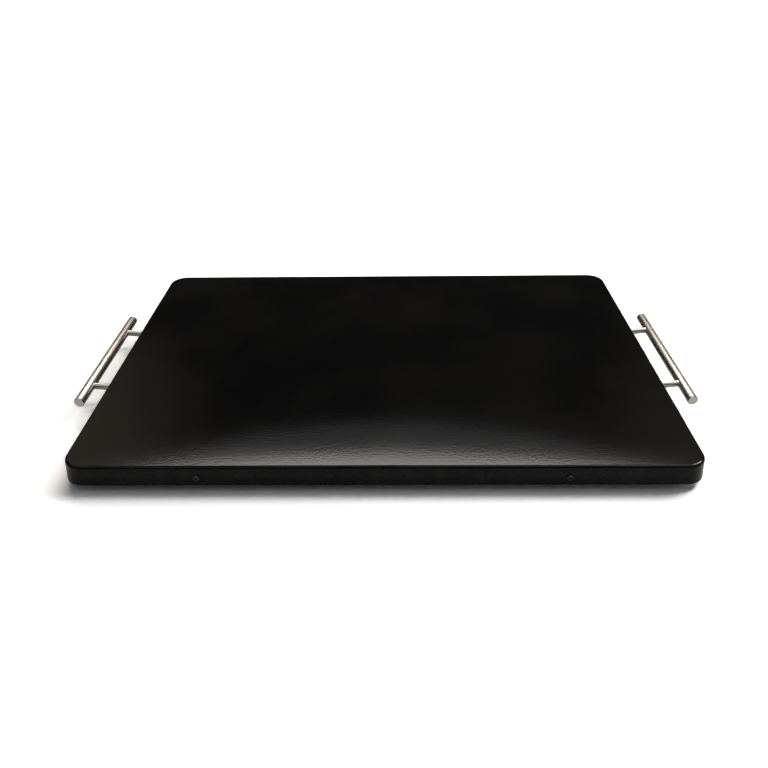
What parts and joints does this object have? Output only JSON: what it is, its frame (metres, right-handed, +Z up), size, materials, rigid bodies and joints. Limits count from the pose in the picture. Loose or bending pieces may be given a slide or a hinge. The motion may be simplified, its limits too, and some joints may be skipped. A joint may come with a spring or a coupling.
{
  "type": "food warming tray",
  "caption": "Electric food warmer tray: flat black pressed-steel top on rubber feet, foil heater and thermostat inside, a stainless bar handle at each end.",
  "frame": {"origin": "on the floor under the middle of the tray", "axes": "+X to the right along the tray, +Y to the back where the gland and switch are, +Z up"},
  "size_m": [0.7118, 0.4602, 0.03],
  "materials": {
    "aluminium_sheet": "plain aluminium sheet",
    "black_coating": "semi-gloss black enamel with a fine orange-peel texture",
    "black_nylon": "black nylon",
    "blackened_screws": "black zinc pan-head screws",
    "brass_contacts": "plain brass",
    "brushed_stainless": "brushed stainless steel",
    "ceramic_fibre": "white ceramic-fibre blanket",
    "earth_sleeve": "green glass-fibre sleeve",
    "foot_rubber": "matt black rubber",
    "heating_alloy": "nickel-chrome heating foil",
    "lead_sleeve": "white glass-fibre sleeve",
    "mica": "pressed mica sheet",
    "phenolic": "dark phenolic",
    "reset_red": "red plastic",
    "rocker_plastic": "smooth black plastic",
    "seal_rubber": "soft black rubber",
    "switch_housing_plastic": "fine-grained black plastic",
    "white_ceramic": "glazed white ceramic",
    "zinc_plated_hardware": "bright zinc plating",
    "zinc_plated_sheet": "plain zinc-plated steel sheet"
  },
  "bodies": {
    "root": {"base_pan": "zinc_plated_sheet", "block_bolt": "zinc_plated_hardware", "block_inserts": "brass_contacts", "block_screws": "brass_contacts", "clamp_nuts": "zinc_plated_hardware", "clamp_plate": "zinc_plated_hardware", "clamp_studs": "zinc_plated_hardware", "cutout_body": "phenolic", "cutout_flange": "zinc_plated_hardware", "earth_lead": "earth_sleeve", "earth_nut": "zinc_plated_hardware", "earth_ring": "brass_contacts", "earth_spacer": "zinc_plated_hardware", "earth_stud": "zinc_plated_hardware", "element_lead": "lead_sleeve", "foot_nuts": "zinc_plated_hardware", "foot_screws": "zinc_plated_hardware", "foot_washers": "zinc_plated_hardware", "front_left_foot": "foot_rubber", "front_right_foot": "foot_rubber", "gland_body": "black_nylon", "gland_cap": "black_nylon", "gland_locknut": "black_nylon", "gland_seal": "seal_rubber", "handle_screws": "zinc_plated_hardware", "handle_washers": "zinc_plated_hardware", "heat_spreader": "aluminium_sheet", "heating_foil": "heating_alloy", "insulation_blanket": "ceramic_fibre", "left_backing_plate": "zinc_plated_hardware", "left_front_post": "brushed_stainless", "left_handle_bar": "brushed_stainless", "left_rear_post": "brushed_stainless", "link_lead": "lead_sleeve", "live_lead": "lead_sleeve", "lower_mica_sheet": "mica", "lug_nuts": "zinc_plated_hardware", "neutral_lead": "lead_sleeve", "rear_left_foot": "foot_rubber", "rear_right_foot": "foot_rubber", "right_backing_plate": "zinc_plated_hardware", "right_front_post": "brushed_stainless", "right_handle_bar": "brushed_stainless", "right_rear_post": "brushed_stainless", "sensor_blades": "brass_contacts", "sensor_screws": "zinc_plated_hardware", "skirt_screws": "blackened_screws", "switch_blades": "brass_contacts", "switch_housing": "switch_housing_plastic", "switched_lead": "lead_sleeve", "terminal_block": "white_ceramic", "thermostat_body": "phenolic", "thermostat_flange": "zinc_plated_hardware", "top_cover": "black_coating", "upper_mica_sheet": "mica"},
    "rocker": {"switch_rocker": "rocker_plastic"},
    "reset": {"reset_button": "reset_red"}
  },
  "joints": [
    {"name": "rocker_tip", "type": "hinge", "parent": "root", "child": "rocker", "pos_m": [0.145, 0.22218, 0.01733], "axis": [0, 0.0872, -0.9962], "range_deg": [0, 18]},
    {"name": "reset_press", "type": "slide", "parent": "root", "child": "reset", "axis": [0, 0, 1], "range_m": [0, 0.001]}
  ]
}
